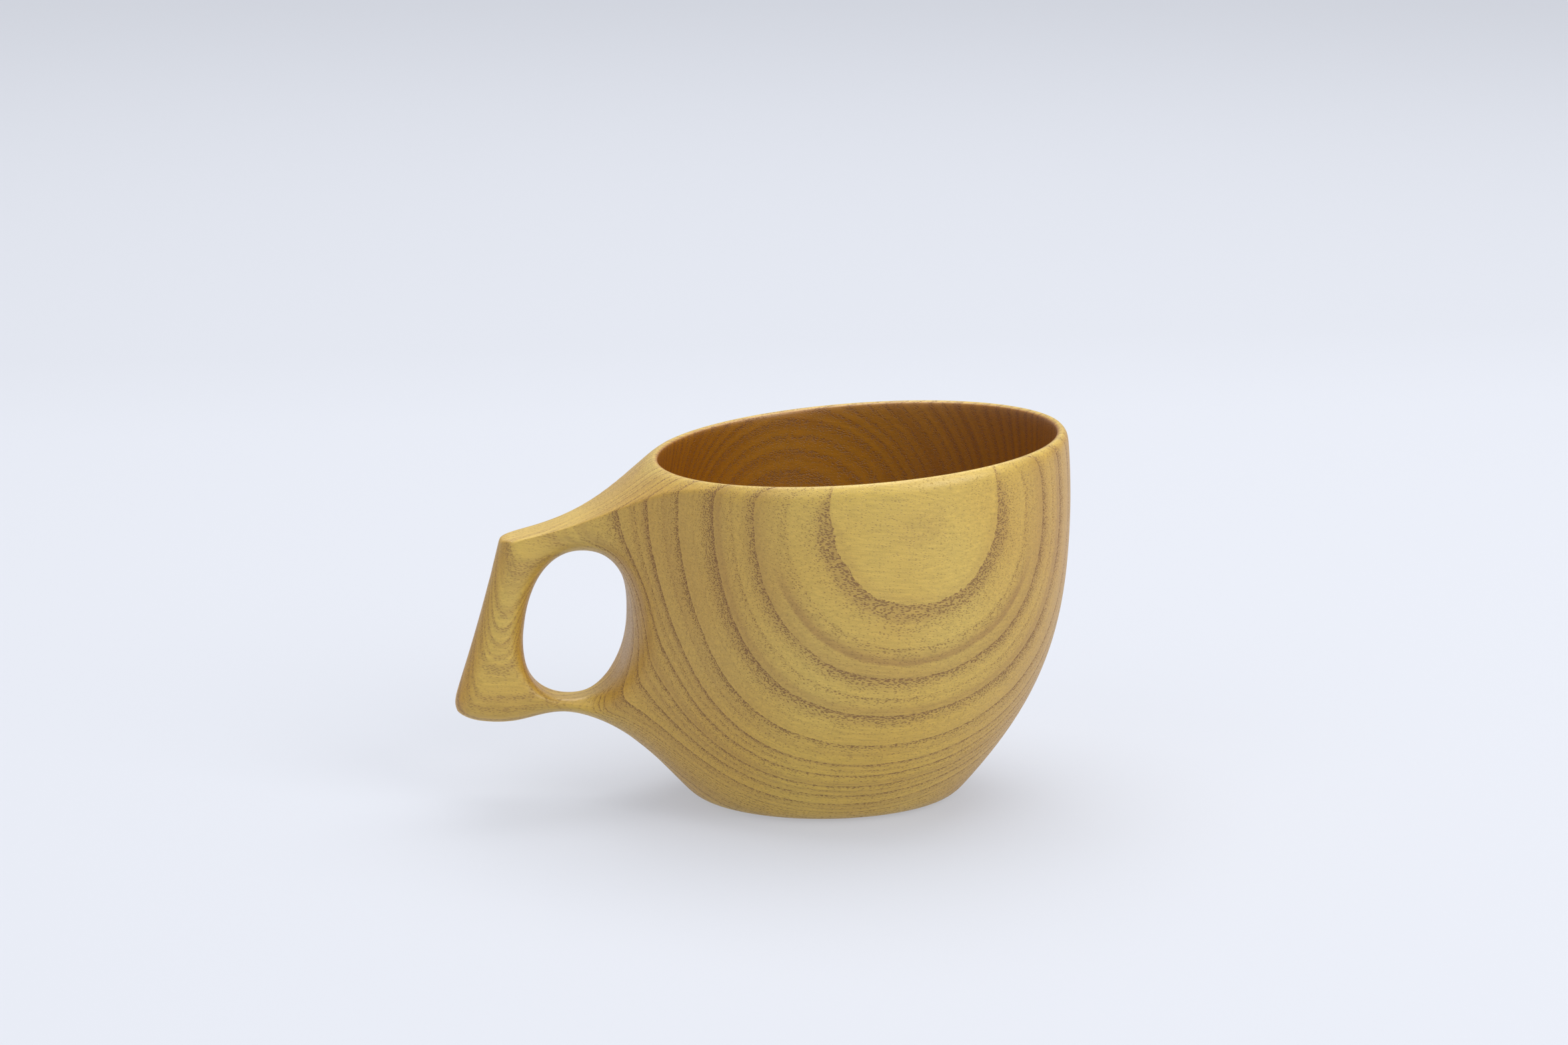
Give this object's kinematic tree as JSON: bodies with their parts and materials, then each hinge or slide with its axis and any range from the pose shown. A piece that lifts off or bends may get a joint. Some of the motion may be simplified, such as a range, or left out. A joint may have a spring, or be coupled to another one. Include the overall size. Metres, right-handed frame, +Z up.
{
  "type": "drinking cup",
  "caption": "Carved wooden drinking cup with an oval bowl on a flat foot and a flat handle pierced by a finger hole.",
  "frame": {"origin": "middle of the flat foot, on the surface the cup stands on", "axes": "+X along the cup, away from the handle; +Y across the cup; +Z up, out of the mouth"},
  "size_m": [0.13, 0.0856, 0.0787],
  "materials": {
    "wood": "oiled satin, ring-porous golden hardwood with unbroken grain from bowl to handle"
  },
  "bodies": {
    "root": {"cup": "wood"}
  },
  "joints": []
}
